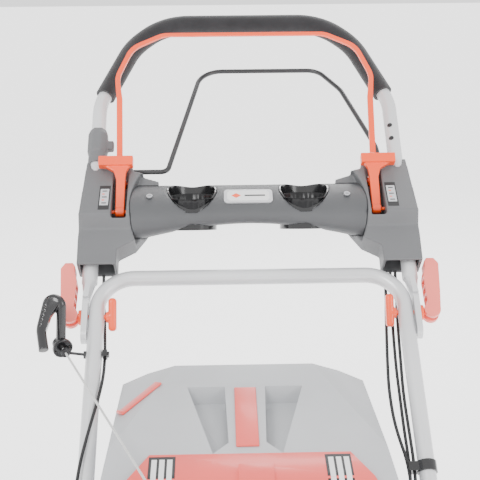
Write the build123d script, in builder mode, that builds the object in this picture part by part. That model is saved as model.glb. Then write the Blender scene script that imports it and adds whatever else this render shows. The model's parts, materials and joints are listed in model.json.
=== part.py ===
from build123d import *
from math import atan2, cos, degrees, hypot, radians, sin, tan
import os

os.makedirs("parts", exist_ok=True)

# A walk-behind petrol rotary mower with a rear grass box.
# +Z up, mower front towards -Y, handle towards +Y, origin on the ground under its middle. Millimetres.

# ---- driving dimensions -------------------------------------------------------------------
CUT_WIDTH = 510
BLADE_Y = -420  # blade and engine axis
DECK_R = 268  # blade chamber, outside
DECK_WALL = 2.5
DECK_LOW = 45
DECK_TOP = 150
REAR_Y = -62  # rear face of the discharge tunnel
FRONT_Y = -795  # front edge of the deck
TUNNEL_X = (-170, 30)
FLAP_HINGE = (-66, 362)
NIPPLE = (-185, -360)

FRONT_WHEEL_R = 100
REAR_WHEEL_R = 140
CRANK = 55  # wheel axle behind the height pivot
FRONT_PIVOT = (-760, 112)
REAR_PIVOT = (-135, 140)
REAR_AXLE = (REAR_PIVOT[0] + CRANK, REAR_PIVOT[1])
FRONT_AXLE = (FRONT_PIVOT[0] + CRANK, 100)
LINK_ARM = 45

TUBE_R = 12.5
TUBE_WALL = 1.6
LEG_X = 243
LEG_LOW = (-95, 186)
CROSSBAR = (429, 642)
PIVOT = (375, 595)  # fold axis of the upper handle
HANDLE_ANGLE = 45.4
UPPER_X = 257
GRIP_R = 17.5

BOX_X = -14
BOX_WALL = 3
BOX_SEAM = 330

C_UP, S_UP = cos(radians(HANDLE_ANGLE)), sin(radians(HANDLE_ANGLE))


# ---- shared helpers -----------------------------------------------------------------------
def yz(u, w):
    """Side-view point u along the upper handle from its fold axis and w in front of it."""
    return (PIVOT[0] + u * C_UP - w * S_UP, PIVOT[1] + u * S_UP + w * C_UP)


def hp(x, u, w=0.0):
    """The same point with its sideways place x."""
    return Vector(x, *yz(u, w))


def handle_plane(w=0.0):
    """Plane of the upper handle: X across, Y up along the handle, Z out of its front."""
    return Plane(origin=(0, *yz(0, w)), x_dir=(1, 0, 0), z_dir=(0, -S_UP, C_UP))


def tilted(u, w, tilt):
    """A plane hinged about X at (u, w), leaning tilt degrees out of the handle's plane."""
    a = radians(HANDLE_ANGLE + tilt)
    return Plane(origin=(0, *yz(u, w)), x_dir=(1, 0, 0), z_dir=(0, -sin(a), cos(a)))


def side(x):
    """Side-view plane at x, with local X along +Y and local Y along +Z."""
    return Plane(origin=(x, 0, 0), x_dir=(0, 1, 0), z_dir=(1, 0, 0))


def save(piece, name):
    piece.part.label = name
    export_step(piece.part, f"parts/{name}.step")


def rod(points, radius, bends, wall=0.0):
    """A round bar, or a tube with a wall, along straight runs joined by tangent arcs."""
    with BuildPart(mode=Mode.PRIVATE) as bar:
        with BuildLine() as path:
            if len(points) == 2:
                Line(*points)
            else:
                FilletPolyline(*points, radius=bends)
        start = path.line ^ 0
        with BuildSketch(start):
            Circle(radius)
            if wall:
                Circle(radius - wall, mode=Mode.SUBTRACT)
        sweep()
    return bar.part


def cord(points, diameter, label):
    """A round cord: each corner's arc takes 0.45 of its shorter run."""
    radii = []
    for a, b, c in zip(points, points[1:], points[2:]):
        run = min((Vector(b) - Vector(a)).length, (Vector(c) - Vector(b)).length)
        turn = (Vector(b) - Vector(a)).get_angle(Vector(c) - Vector(b))
        radii.append(0.45 * run / tan(radians(turn) / 2))
    print(label, "radii", [round(r) for r in radii])
    return rod([Vector(p) for p in points], diameter / 2, radii)


def disc(radius, low, high, at=(0, 0), bore=0.0):
    """A disc, or a ring, standing on a vertical axis."""
    with BuildPart(mode=Mode.PRIVATE) as part:
        with BuildSketch(Plane.XY.offset(low)):
            with Locations(at):
                Circle(radius)
                if bore:
                    Circle(bore, mode=Mode.SUBTRACT)
        extrude(amount=high - low)
    return part.part


def barrel(radius, x0, x1, at, bore=0.0):
    """A disc, or a ring, on a sideways axis through at = (y, z)."""
    with BuildPart(mode=Mode.PRIVATE) as part:
        with BuildSketch(side(x0)):
            with Locations(at):
                Circle(radius)
                if bore:
                    Circle(bore, mode=Mode.SUBTRACT)
        extrude(amount=x1 - x0)
    return part.part


def block(place, length, width, height):
    """A plain block centred on a place."""
    return place * Box(length, width, height, mode=Mode.PRIVATE)


def pin(place, radius, length):
    """A plain round pin along a place's own Z."""
    return place * Cylinder(radius, length, mode=Mode.PRIVATE)


def slab(x0, x1, y0, y1, z0, z1):
    """A plain block between two corners."""
    x0, x1 = min(x0, x1), max(x0, x1)
    return block(Pos((x0 + x1) / 2, (y0 + y1) / 2, (z0 + z1) / 2), x1 - x0, y1 - y0, z1 - z0)


def side_prism(points, x0, x1):
    """A side-view outline pulled across from x0 to x1."""
    with BuildPart(mode=Mode.PRIVATE) as part:
        with BuildSketch(side(x0)):
            with BuildLine():
                Polyline(*points, close=True)
            make_face()
        extrude(amount=x1 - x0)
    return part.part


def mirrored(shape):
    return shape.mirror(Plane.YZ)


# ---- deck ---------------------------------------------------------------------------------
def deck_blank(inset, low, top):
    """The deck's body: a round blade chamber with a front hood and a rear shoulder."""
    with BuildPart(mode=Mode.PRIVATE) as part:
        with BuildSketch(Plane.XY.offset(low)):
            with Locations((0, BLADE_Y)):
                Circle(DECK_R - inset)
            with BuildLine():
                Polyline(
                    (-205 + inset, -300), (-205 + inset, -108 - inset), (205 - inset, -108 - inset),
                    (205 - inset, -300), close=True,
                )
            make_face()
            with Locations((0, (FRONT_Y - 540) / 2)):
                RectangleRounded(390 - 2 * inset, -540 - FRONT_Y - 2 * inset, 60 - inset)
        extrude(amount=top - low)
        fillet(part.faces().sort_by(Axis.Z)[-1].edges(), 14 - inset)
    return part.part


TUNNEL_OUT = [(-300, 140), (-300, 151), (-78, 350), (REAR_Y, 350), (REAR_Y, 236), (-175, 120), (-200, 100),
              (-260, 100)]
TUNNEL_IN = [(-296, 130), (-296, 149), (-77, 346), (REAR_Y + 3, 346), (REAR_Y + 3, 240), (-176, 123.5),
             (-197, 103), (-197, 90), (-290, 90)]

with BuildPart() as deck:
    add(deck_blank(0, DECK_LOW, DECK_TOP))
    add(side_prism(TUNNEL_OUT, *TUNNEL_X))
    add(deck_blank(DECK_WALL, DECK_LOW - 5, DECK_TOP - DECK_WALL), mode=Mode.SUBTRACT)
    add(side_prism(TUNNEL_IN, TUNNEL_X[0] + DECK_WALL, TUNNEL_X[1] - DECK_WALL), mode=Mode.SUBTRACT)
    # The rear shoulder stands clear of the ground behind the chamber, over the rear axle.
    add(slab(-230, 230, -150, -90, 30, 100), mode=Mode.SUBTRACT)
    # Ring that the engine bolts to, and its hole for the crankshaft.
    add(disc(112, DECK_TOP - 1, DECK_TOP + 6, (0, BLADE_Y), 70))
    add(disc(18, 100, 200, (0, BLADE_Y)), mode=Mode.SUBTRACT)
    # Window in the shoulder that the gearbox stands in.
    add(slab(98, 182, -174, -100, 95, 160), mode=Mode.SUBTRACT)
    # Rear plate that the grass box hangs on, with the hinge lugs of the rear flap.
    add(slab(-190, 190, REAR_Y - 4, REAR_Y, 200, 352))
    add(slab(-190, 190, REAR_Y - 60, REAR_Y - 4, 200, 204))
    for x in (-187, 0, 187):
        add(slab(x - 3, x + 3, FLAP_HINGE[0] - 5, REAR_Y, 330, 367))
        add(side_prism([(-158, 145), (-150, 145), (REAR_Y - 4, 200), (REAR_Y - 4, 210)], x - 3, x + 3))
    add(slab(TUNNEL_X[0] + DECK_WALL, TUNNEL_X[1] - DECK_WALL, -70, -50, 240, 346), mode=Mode.SUBTRACT)
    add(side_prism(TUNNEL_IN, TUNNEL_X[0] + DECK_WALL, TUNNEL_X[1] - DECK_WALL), mode=Mode.SUBTRACT)
    add(barrel(3.05, -230, 230, FLAP_HINGE), mode=Mode.SUBTRACT)
    # Holes for the front height shaft and the drive shaft.
    add(barrel(6.5, -230, 230, FRONT_PIVOT), mode=Mode.SUBTRACT)
    add(barrel(7.5, -230, 230, REAR_PIVOT), mode=Mode.SUBTRACT)
    # Wash-out nipple over the blade chamber.
    add(disc(8.5, DECK_TOP - 1, DECK_TOP + 24, NIPPLE))
    add(disc(5, DECK_LOW, DECK_TOP + 30, NIPPLE), mode=Mode.SUBTRACT)
save(deck, "deck")

with BuildPart() as front_bumper:
    with BuildSketch(Plane.XY.offset(88)):
        with BuildLine():
            Polyline((-196, -752), (-198, -790), (-150, -812), (-70, -821), (70, -821), (150, -812), (198, -790),
                     (196, -752), close=True)
        make_face()
    extrude(amount=74)
    add(deck_blank(-0.3, 40, 200), mode=Mode.SUBTRACT)
    add(barrel(6.6, -230, 230, FRONT_PIVOT), mode=Mode.SUBTRACT)
    for k in range(-2, 3):
        add(slab(26 * k - 9, 26 * k + 9, -830, -814, 104, 146), mode=Mode.SUBTRACT)
save(front_bumper, "front_bumper")

# ---- height adjuster ----------------------------------------------------------------------
def strap(x0, x1, a, b, radius, holes=()):
    """A flat bar with round ends between two side-view points, with round holes."""
    length = hypot(b[0] - a[0], b[1] - a[1])
    turn = degrees(atan2(b[1] - a[1], b[0] - a[0]))
    with BuildPart(mode=Mode.PRIVATE) as part:
        with BuildSketch(side(x0)):
            with Locations(Location(((a[0] + b[0]) / 2, (a[1] + b[1]) / 2, 0), (0, 0, turn))):
                SlotCenterToCenter(length, 2 * radius)
            for y, z, r in holes:
                with Locations((y, z)):
                    Circle(r, mode=Mode.SUBTRACT)
        extrude(amount=x1 - x0)
    return part.part


def arm_top(pivot):
    return (pivot[0], pivot[1] + LINK_ARM)


with BuildPart() as front_axle:
    add(barrel(6, -209, 209, FRONT_PIVOT))
    for sign in (-1, 1):
        add(strap(sign * 209, sign * 213, FRONT_PIVOT, FRONT_AXLE, 14))
        add(barrel(7, sign * 211, sign * 270, FRONT_AXLE))
        add(barrel(11, sign * 266.5, sign * 270, FRONT_AXLE))
    add(strap(-213, -209, FRONT_PIVOT, arm_top(FRONT_PIVOT), 9))
    add(barrel(3, -210, -203, arm_top(FRONT_PIVOT)))
save(front_axle, "front_axle")

LEVER_TOP = (-178, 300)
with BuildPart() as rear_axle:
    add(barrel(7, -306, 306, REAR_AXLE))
    for sign in (-1, 1):
        add(strap(sign * 212, sign * 216, REAR_PIVOT, REAR_AXLE, 15, [(*REAR_PIVOT, 6.1)]))
        add(barrel(12, sign * 303, sign * 315, REAR_AXLE))
    add(strap(-216, -212, REAR_PIVOT, arm_top(REAR_PIVOT), 9, [(*REAR_PIVOT, 6.1)]))
    add(barrel(3, -213, -203, arm_top(REAR_PIVOT)))
    add(strap(216, 220, REAR_PIVOT, LEVER_TOP, 9, [(*REAR_PIVOT, 6.1)]))
save(rear_axle, "rear_axle")

with BuildPart() as height_knob:
    with BuildSketch(Plane(origin=(218, LEVER_TOP[0] + 1, LEVER_TOP[1] - 10), x_dir=(1, 0, 0),
                           z_dir=(0, -0.26, 0.966))):
        RectangleRounded(20, 26, 8)
    extrude(amount=52)
    fillet(height_knob.edges().group_by(Axis.Z)[-1], 5)
    add(strap(216, 220, REAR_PIVOT, LEVER_TOP, 9), mode=Mode.SUBTRACT)
save(height_knob, "height_knob")

link_ends = (arm_top(REAR_PIVOT), arm_top(FRONT_PIVOT))
with BuildPart() as height_link:
    add(strap(-208, -205, *link_ends, 6, [(*link_ends[0], 3.1), (*link_ends[1], 3.4)]))
save(height_link, "height_link")


# ---- wheels -------------------------------------------------------------------------------
def turned(profile, at, x0):
    """A ring turned about a sideways axis through at, from (x, radius) points measured from x0."""
    with BuildPart(mode=Mode.PRIVATE) as part:
        with BuildSketch(Plane(origin=(0, *at), x_dir=(1, 0, 0), z_dir=(0, -1, 0))):
            with BuildLine():
                Polyline(*[(x0 + x, r) for x, r in profile], close=True)
            make_face()
        revolve(axis=Axis((0, *at), (1, 0, 0)))
    return part.part


def tyre(at, radius, rim, width, x0):
    """A soft tyre with two rounded shoulders and a flat tread."""
    return turned([(2, rim), (0, rim + 6), (0, radius - 12), (4, radius - 3), (9, radius), (width - 9, radius),
                   (width - 4, radius - 3), (width, radius - 12), (width, rim + 6), (width - 2, rim)], at, x0)


def rim(at, radius, hub, bore, width, x0, spokes, outward):
    """A moulded wheel centre: hub, dished web with windows, and the seat for the tyre."""
    face = width - 14 if outward > 0 else 8
    with BuildPart(mode=Mode.PRIVATE) as part:
        add(turned([(2, radius - 8), (2, radius), (width - 2, radius), (width - 2, radius - 8)], at, x0))
        add(turned([(0, bore), (0, hub), (width, hub), (width, bore)], at, x0))
        add(turned([(face, hub - 2), (face, radius - 4), (face + 6, radius - 4), (face + 6, hub - 2)], at, x0))
        middle = (hub + radius - 8) / 2
        for k in range(spokes):
            window = Pos(x0 + width / 2, *at) * Rot(360 * k / spokes, 0, 0) * Pos(0, 0, middle) * Rot(0, 90, 0)
            add(pin(window, (radius - 8 - hub) * 0.24, width - 9), mode=Mode.SUBTRACT)
    return part.part


def front_wheel(sign):
    x0 = 226 if sign > 0 else -266
    return (rim(FRONT_AXLE, 70, 20, 7.05, 40, x0, 8, sign), tyre(FRONT_AXLE, FRONT_WHEEL_R, 70.05, 40, x0))


def rear_wheel(sign):
    x0 = 262 if sign > 0 else -302
    return (rim(REAR_AXLE, 104, 22, 7.05, 40, x0, 10, sign), tyre(REAR_AXLE, REAR_WHEEL_R, 104.05, 40, x0))


for end, make in (("front", front_wheel), ("rear", rear_wheel)):
    for name, sign in (("left", 1), ("right", -1)):
        centre, cover = make(sign)
        centre.label, cover.label = f"{end}_{name}_rim", f"{end}_{name}_tyre"
        export_step(centre, f"parts/{centre.label}.step")
        export_step(cover, f"parts/{cover.label}.step")

# ---- drive --------------------------------------------------------------------------------
GEARBOX_X = 140
PULLEY_Z = (172, 184)
ENGINE_PULLEY_R = 26
BOX_PULLEY_R = 30

with BuildPart() as drive_shaft:
    add(barrel(6, -277, 277, REAR_PIVOT))
    for sign in (-1, 1):
        with BuildSketch(side(sign * 265)):
            with Locations(REAR_PIVOT):
                Circle(9.5)
                with PolarLocations(9.5, 12):
                    Rectangle(5, 2.6)
        extrude(amount=sign * 11)
save(drive_shaft, "drive_shaft")

with BuildPart() as gearbox:
    with BuildSketch(side(GEARBOX_X - 34)):
        with Locations(REAR_PIVOT):
            RectangleRounded(54, 60, 14)
    extrude(amount=68)
    fillet(gearbox.edges().filter_by(GeomType.LINE, reverse=True).group_by(Axis.X)[0], 3)
    add(disc(11, 165, 170.5, (GEARBOX_X, REAR_PIVOT[0])))
    add(disc(5, 165, 192, (GEARBOX_X, REAR_PIVOT[0])))
    for flange in (-34, 27):
        add(barrel(17, GEARBOX_X + flange - 4, GEARBOX_X + flange + 11, REAR_PIVOT))
    add(barrel(6.05, 80, 200, REAR_PIVOT), mode=Mode.SUBTRACT)
save(gearbox, "gearbox")


def pulley(at, radius, bore):
    """A V-belt pulley on a vertical axis."""
    low, high = PULLEY_Z[0] - 1, PULLEY_Z[1] + 1
    mid = (low + high) / 2
    with BuildPart(mode=Mode.PRIVATE) as part:
        with BuildSketch(Plane(origin=(*at, 0), x_dir=(1, 0, 0), z_dir=(0, -1, 0))):
            with BuildLine():
                Polyline((bore, low), (radius + 3, low), (radius + 3, low + 1.5), (radius - 4, mid - 2),
                         (radius - 4, mid + 2), (radius + 3, high - 1.5), (radius + 3, high), (bore, high),
                         close=True)
            make_face()
        revolve(axis=Axis((*at, 0), (0, 0, 1)))
    return part.part


gear_at = (GEARBOX_X, REAR_PIVOT[0])
with BuildPart() as gearbox_pulley:
    add(pulley(gear_at, BOX_PULLEY_R, 5.05))
save(gearbox_pulley, "gearbox_pulley")

with BuildPart() as drive_belt:
    reach = Vector(gear_at[0], gear_at[1] - BLADE_Y, 0)
    lean = degrees(atan2(reach.Y, reach.X))
    open_angle = degrees(atan2(BOX_PULLEY_R - ENGINE_PULLEY_R, reach.length))
    for grow, mode in ((3.4, Mode.ADD), (-3.4, Mode.SUBTRACT)):
        with BuildSketch(Plane.XY.offset(PULLEY_Z[0] + 4)) as loop:
            with Locations((0, BLADE_Y)):
                Circle(ENGINE_PULLEY_R + grow)
            with Locations(gear_at):
                Circle(BOX_PULLEY_R + grow)
            make_hull()
        extrude(amount=4, mode=mode)
save(drive_belt, "drive_belt")

# ---- engine -------------------------------------------------------------------------------
BLOCK_LOW = DECK_TOP + 36
BLOCK_TOP = 290
SHAFT_R = 11.1
HEAD_Y = BLADE_Y - 190
ROPE_OUT = (48, -330, 370)
ROPE_EYE = (-286.8, 312, 566)


with BuildPart() as engine_block:
    add(disc(100, DECK_TOP + 6, BLOCK_LOW + 8, (0, BLADE_Y), 78))
    add(disc(94, BLOCK_LOW, BLOCK_TOP, (0, BLADE_Y)))
    add(slab(-50, 50, HEAD_Y + 14, BLADE_Y, BLOCK_LOW + 8, BLOCK_TOP - 6))
    # Cooling fins round the cylinder, then the head with its own fins.
    for k in range(7):
        y = HEAD_Y + 22 + 10 * k
        add(slab(-66, 66, y, y + 3, BLOCK_LOW + 4, BLOCK_TOP - 2))
    add(slab(-60, 60, HEAD_Y, HEAD_Y + 16, BLOCK_LOW + 10, BLOCK_TOP - 8))
    for k in range(6):
        z = BLOCK_LOW + 18 + 13 * k
        add(slab(-56, 56, HEAD_Y - 12, HEAD_Y + 2, z, z + 3))
    # Shaft bore, and the opening that the belt leaves through.
    add(disc(SHAFT_R + 0.05, 100, 400, (0, BLADE_Y)), mode=Mode.SUBTRACT)
    add(slab(-45, 180, BLADE_Y + 10, BLADE_Y + 110, DECK_TOP + 12, BLOCK_LOW - 0.5), mode=Mode.SUBTRACT)
    # Spark plug thread.
    add(pin(Pos(0, HEAD_Y - 12, BLOCK_LOW + 50) * Rot(90, 0, 0), 16, 24), mode=Mode.SUBTRACT)
    # Dipstick boss at the rear, on the mower's right.
    add(pin(Pos(-78, BLADE_Y + 76, BLOCK_LOW + 60), 15, 110))
    add(pin(Pos(-78, BLADE_Y + 76, BLOCK_LOW + 80), 7.2, 150), mode=Mode.SUBTRACT)
save(engine_block, "engine_block")

with BuildPart() as spark_plug:
    with BuildSketch(Plane(origin=(0, HEAD_Y, BLOCK_LOW + 50), x_dir=(1, 0, 0), z_dir=(0, -1, 0))):
        Circle(8)
    extrude(amount=24)
    with BuildSketch(Plane(origin=(0, HEAD_Y - 20, BLOCK_LOW + 50), x_dir=(1, 0, 0), z_dir=(0, -1, 0))):
        Circle(11)
    extrude(amount=38)
    fillet(spark_plug.edges().group_by(Axis.Y)[0], 5)
save(spark_plug, "spark_plug")


def shroud_blank(inset, low, top):
    """Cowl over the flywheel and the cylinder's top."""
    with BuildPart(mode=Mode.PRIVATE) as part:
        with BuildSketch(Plane.XY.offset(low)):
            with Locations((0, BLADE_Y)):
                Circle(122 - inset)
            with Locations((0, (BLADE_Y + HEAD_Y - 10) / 2)):
                RectangleRounded(150 - 2 * inset, BLADE_Y - HEAD_Y + 10 - 2 * inset, 22 - inset)
        extrude(amount=top - low)
        fillet(part.faces().sort_by(Axis.Z)[-1].edges(), 16 - inset)
    return part.part


SHROUD_TOP = 345
with BuildPart() as engine_shroud:
    add(shroud_blank(0, BLOCK_TOP + 1, SHROUD_TOP))
    add(shroud_blank(3, BLOCK_TOP - 5, SHROUD_TOP - 3), mode=Mode.SUBTRACT)
    add(disc(80, SHROUD_TOP - 20, SHROUD_TOP + 20, (0, BLADE_Y)), mode=Mode.SUBTRACT)
    add(disc(19, BLOCK_TOP - 20, SHROUD_TOP + 20, (-78, BLADE_Y + 76)), mode=Mode.SUBTRACT)
    # Struts down to the crankcase.
    for x, y in ((-88, -30), (88, -30), (75, 60)):
        add(disc(7, BLOCK_TOP, SHROUD_TOP - 2, (x * 0.98, BLADE_Y + y)))
save(engine_shroud, "engine_shroud")

RECOIL_TOP = 398
with BuildPart() as recoil_cover:
    with BuildSketch(Plane(origin=(0, BLADE_Y, 0), x_dir=(1, 0, 0), z_dir=(0, -1, 0))):
        with BuildLine():
            Polyline((0, RECOIL_TOP), (60, RECOIL_TOP - 2), (88, RECOIL_TOP - 22), (95, SHROUD_TOP),
                     (92, SHROUD_TOP), (85.5, RECOIL_TOP - 24), (58, RECOIL_TOP - 5), (0, RECOIL_TOP - 3),
                     close=True)
        make_face()
    revolve(axis=Axis((0, BLADE_Y, 0), (0, 0, 1)))
    for k in range(20):
        slot = Pos(0, BLADE_Y, 0) * Rot(0, 0, 18 * k) * Pos(52, 0, RECOIL_TOP)
        add(block(slot, 34, 5, 22), mode=Mode.SUBTRACT)
    # Rope outlet, a lug on the rear of the cover.
    add(slab(34, 62, -362, -336, 352, 388))
    add(disc(82, SHROUD_TOP + 1, RECOIL_TOP - 30, (0, BLADE_Y)), mode=Mode.SUBTRACT)
    rope_dir = (Vector(*ROPE_EYE) - Vector(*ROPE_OUT)).normalized()
    bore = Plane(origin=Vector(*ROPE_OUT) - rope_dir * 60, z_dir=rope_dir)
    with BuildSketch(bore):
        Circle(3)
    extrude(amount=100, mode=Mode.SUBTRACT)
save(recoil_cover, "recoil_cover")

TANK = (84, 204, -520, -350, 232, 322)
with BuildPart() as fuel_tank:
    add(slab(*TANK))
    fillet(fuel_tank.edges(), 16)
    add(disc(27, 300, 336, (160, -400)))
    with BuildPart(mode=Mode.PRIVATE) as room:
        add(slab(TANK[0] + 5, TANK[1] - 5, TANK[2] + 5, TANK[3] - 5, TANK[4] + 5, TANK[5] - 5))
        add(disc(128, 200, 400, (0, BLADE_Y)), mode=Mode.SUBTRACT)
    add(room.part, mode=Mode.SUBTRACT)
    add(disc(22.1, 310, 340, (160, -400)), mode=Mode.SUBTRACT)
    add(disc(123, 200, 400, (0, BLADE_Y)), mode=Mode.SUBTRACT)
    # Bracket foot on the crankcase.
    add(slab(88, 130, -440, -400, 236, 250))
    add(disc(94.2, 200, 289, (0, BLADE_Y)), mode=Mode.SUBTRACT)
save(fuel_tank, "fuel_tank")

with BuildPart() as fuel_cap:
    add(disc(22, 312, 338, (160, -400)))
    with BuildSketch(Plane.XY.offset(337.0)):
        with Locations((160, -400)):
            Circle(29)
            with PolarLocations(30, 10):
                Circle(3.2, mode=Mode.SUBTRACT)
    extrude(amount=17)
    fillet(fuel_cap.edges().group_by(Axis.Z)[-1], 1.5)
save(fuel_cap, "fuel_cap")

with BuildPart() as dipstick:
    add(pin(Pos(-78, BLADE_Y + 76, BLOCK_LOW + 72), 7.1, 90))
    add(pin(Pos(-78, BLADE_Y + 76, BLOCK_LOW + 126), 15, 20))
    add(block(Pos(-78, BLADE_Y + 76, BLOCK_LOW + 144), 30, 7, 22))
save(dipstick, "dipstick")

with BuildPart() as air_filter:
    add(slab(-200, -112, -560, -440, 222, 316))
    fillet(air_filter.edges(), 12)
    for k in range(5):
        add(slab(-203, -196, -542 + 20 * k, -532 + 20 * k, 240, 298), mode=Mode.SUBTRACT)
    add(slab(-114, -60, -520, -480, 236, 276))
    add(disc(124, 200, 400, (0, BLADE_Y)), mode=Mode.SUBTRACT)
    add(slab(-113, -51, -508, -486, 246, 270))
    add(slab(-66.2, 0, -620, -400, 180, 300), mode=Mode.SUBTRACT)
    add(disc(94.2, 200, 400, (0, BLADE_Y)), mode=Mode.SUBTRACT)
save(air_filter, "air_filter")

with BuildPart() as muffler:
    add(slab(84, 176, -636, -560, 206, 282))
    fillet(muffler.edges(), 14)
    add(slab(66.2, 90, -600, -576, 232, 262))
    for i in range(5):
        for k in range(3):
            hole = Pos(102 + 14 * i, -636, 226 + 18 * k) * Rot(90, 0, 0)
            add(pin(hole, 4, 8), mode=Mode.SUBTRACT)
    add(slab(110, 150, -560, -545, 252, 262))
    add(slab(110, 150, -562, -524.2, 252, 262))
    add(slab(110, 150, -548, -524.2, 200, 262), mode=Mode.SUBTRACT)
save(muffler, "muffler")

# ---- crankshaft and blade -----------------------------------------------------------------
BLADE_Z = 74
with BuildPart() as crankshaft:
    add(disc(SHAFT_R, BLADE_Z + 4, BLOCK_TOP + 34, (0, BLADE_Y)))
    add(disc(28, BLADE_Z + 4, BLADE_Z + 20, (0, BLADE_Y)))
    add(pulley((0, BLADE_Y), ENGINE_PULLEY_R, SHAFT_R - 1))
    add(disc(76, BLOCK_TOP + 8, BLOCK_TOP + 22, (0, BLADE_Y)))
    for k in range(16):
        add(block(Pos(0, BLADE_Y, BLOCK_TOP + 28) * Rot(0, 0, 22.5 * k) * Pos(62, 0, 0) * Rot(0, 0, 25), 24, 2.5, 14))
save(crankshaft, "crankshaft")

with BuildPart() as blade:
    add(slab(-CUT_WIDTH / 2, CUT_WIDTH / 2, BLADE_Y - 27, BLADE_Y + 27, BLADE_Z, BLADE_Z + 4))
    for sign in (-1, 1):
        lift = Pos(sign * 205, BLADE_Y + sign * 22, BLADE_Z + 11) * Rot(sign * 50, 0, 0)
        add(block(lift, 96, 26, 4))
        edge = Pos(sign * 215, BLADE_Y - sign * 29, BLADE_Z + 4) * Rot(sign * 30, 0, 0)
        add(block(edge, 90, 14, 5), mode=Mode.SUBTRACT)
    add(disc(CUT_WIDTH / 2, 0, 200, (0, BLADE_Y)), mode=Mode.INTERSECT)
    add(disc(6.2, 0, 200, (0, BLADE_Y)), mode=Mode.SUBTRACT)
save(blade, "blade")

with BuildPart() as blade_bolt:
    add(disc(6.2, BLADE_Z - 4, BLADE_Z + 4, (0, BLADE_Y)))
    add(disc(19, BLADE_Z - 4, BLADE_Z, (0, BLADE_Y)))
    with BuildSketch(Plane.XY.offset(BLADE_Z - 14)):
        with Locations((0, BLADE_Y)):
            RegularPolygon(11, 6)
    extrude(amount=10)
save(blade_bolt, "blade_bolt")

# ---- lower handle -------------------------------------------------------------------------
LEG_LEN = hypot(CROSSBAR[0] - LEG_LOW[0], CROSSBAR[1] - LEG_LOW[1])
LEG_UNIT = ((CROSSBAR[0] - LEG_LOW[0]) / LEG_LEN, (CROSSBAR[1] - LEG_LOW[1]) / LEG_LEN)


def leg(t):
    """Side-view point on the lower handle's leg, t along it from its low end."""
    return (LEG_LOW[0] + t * LEG_UNIT[0], LEG_LOW[1] + t * LEG_UNIT[1])


DECK_BOLTS = (28, 78)
BOLT_R = 3.95

with BuildPart() as lower_handle:
    route = [(-LEG_X, *LEG_LOW), (-LEG_X, *CROSSBAR), (LEG_X, *CROSSBAR), (LEG_X, *LEG_LOW)]
    add(rod([Vector(p) for p in route], TUBE_R, 58, TUBE_WALL))
    add(barrel(BOLT_R + 0.05, -300, 300, PIVOT), mode=Mode.SUBTRACT)
    for t in DECK_BOLTS:
        add(barrel(4.1, -300, 300, leg(t)), mode=Mode.SUBTRACT)
save(lower_handle, "lower_handle")

BRACKET = [(-190, DECK_TOP), (-190, 168), (-110, 214), (-40, 270), (0, 268), (-20, 224), (-90, 160),
           (-108, DECK_TOP)]
with BuildPart() as handle_brackets:
    for sign in (-1, 1):
        add(side_prism(BRACKET, sign * 226, sign * 230))
        add(slab(sign * 192, sign * 230, -190, -114, DECK_TOP, DECK_TOP + 4))
        add(slab(sign * 210.5, sign * 225.5, -172, -112, 140, 160), mode=Mode.SUBTRACT)
    for t in DECK_BOLTS:
        add(barrel(4.1, -300, 300, leg(t)), mode=Mode.SUBTRACT)
save(handle_brackets, "handle_brackets")


def hexagon(x0, x1, at, radius):
    """A hexagon nut or bolt head on a sideways axis."""
    with BuildPart(mode=Mode.PRIVATE) as part:
        with BuildSketch(side(x0)):
            with Locations(at):
                RegularPolygon(radius, 6)
        extrude(amount=x1 - x0)
    return part.part


with BuildPart() as fasteners:
    for sign in (-1, 1):
        for t in DECK_BOLTS:
            add(barrel(4, sign * 221, sign * 261.5, leg(t)))
            add(barrel(9, sign * 255.6, sign * 258, leg(t)))
            add(hexagon(sign * 221, sign * 226, leg(t), 7.5))
            add(hexagon(sign * 258, sign * 261, leg(t), 7.5))
    for angle in (100, 220, 340):
        a = radians(angle)
        add(disc(5.5, DECK_TOP + 6, DECK_TOP + 12, (106 * cos(a), BLADE_Y + 106 * sin(a))))
save(fasteners, "fasteners")

# ---- clamps at the fold -------------------------------------------------------------------
CAM_X = 284


def crosswise(x, u=0.0, w=0.0):
    """A place on the upper handle whose Z stands out of its front."""
    return handle_plane(0).location * Pos(x, u, w)


with BuildPart() as clamp_bolts:
    for sign in (-1, 1):
        add(barrel(BOLT_R, sign * 226, sign * 278, PIVOT))
        add(barrel(12, sign * 265.2, sign * 270.8, PIVOT))
        add(pin(crosswise(sign * CAM_X), 8, 8))
        add(pin(crosswise(sign * CAM_X), 3.05, 20), mode=Mode.SUBTRACT)
        add(barrel(8.5, sign * 221, sign * 228, PIVOT))
        with BuildPart(mode=Mode.PRIVATE) as knob:
            add(block(Pos(sign * 218, *PIVOT) * Rot(HANDLE_ANGLE + 22, 0, 0) * Pos(0, 4, 0), 13, 52, 17))
            fillet(knob.edges(), 5.5)
        add(knob.part)
save(clamp_bolts, "clamp_bolts")


def cam_lever(sign):
    """Clamp lever: a round cam on the bolt's eye, with a ribbed paddle up along the handle."""
    paddle = [(-6, 0), (13, 0), (16, 34), (19, 82), (12, 92), (0, 92), (-4, 86), (-4, 76), (-8, 60)]
    with BuildPart(mode=Mode.PRIVATE) as lever:
        with BuildSketch(Plane.XY.offset(-13)):
            with BuildLine():
                Polyline(*paddle, close=True)
            make_face()
        extrude(amount=26)
        add(pin(Pos(0, 0, 0), 13, 26))
        # Hollows between the ribs, open towards the tube.
        for k in range(4):
            add(block(Pos(-4, 22 + 14.5 * k, 0), 14, 11, 19), mode=Mode.SUBTRACT)
        add(block(Pos(-5, -5, 0), 28, 28, 9), mode=Mode.SUBTRACT)
        add(pin(Pos(0, 0, 0), 3, 26))
    shape = lever.part if sign > 0 else mirrored(lever.part)
    return Location((sign * CAM_X, *PIVOT), (HANDLE_ANGLE, 0, 0)) * shape


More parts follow.
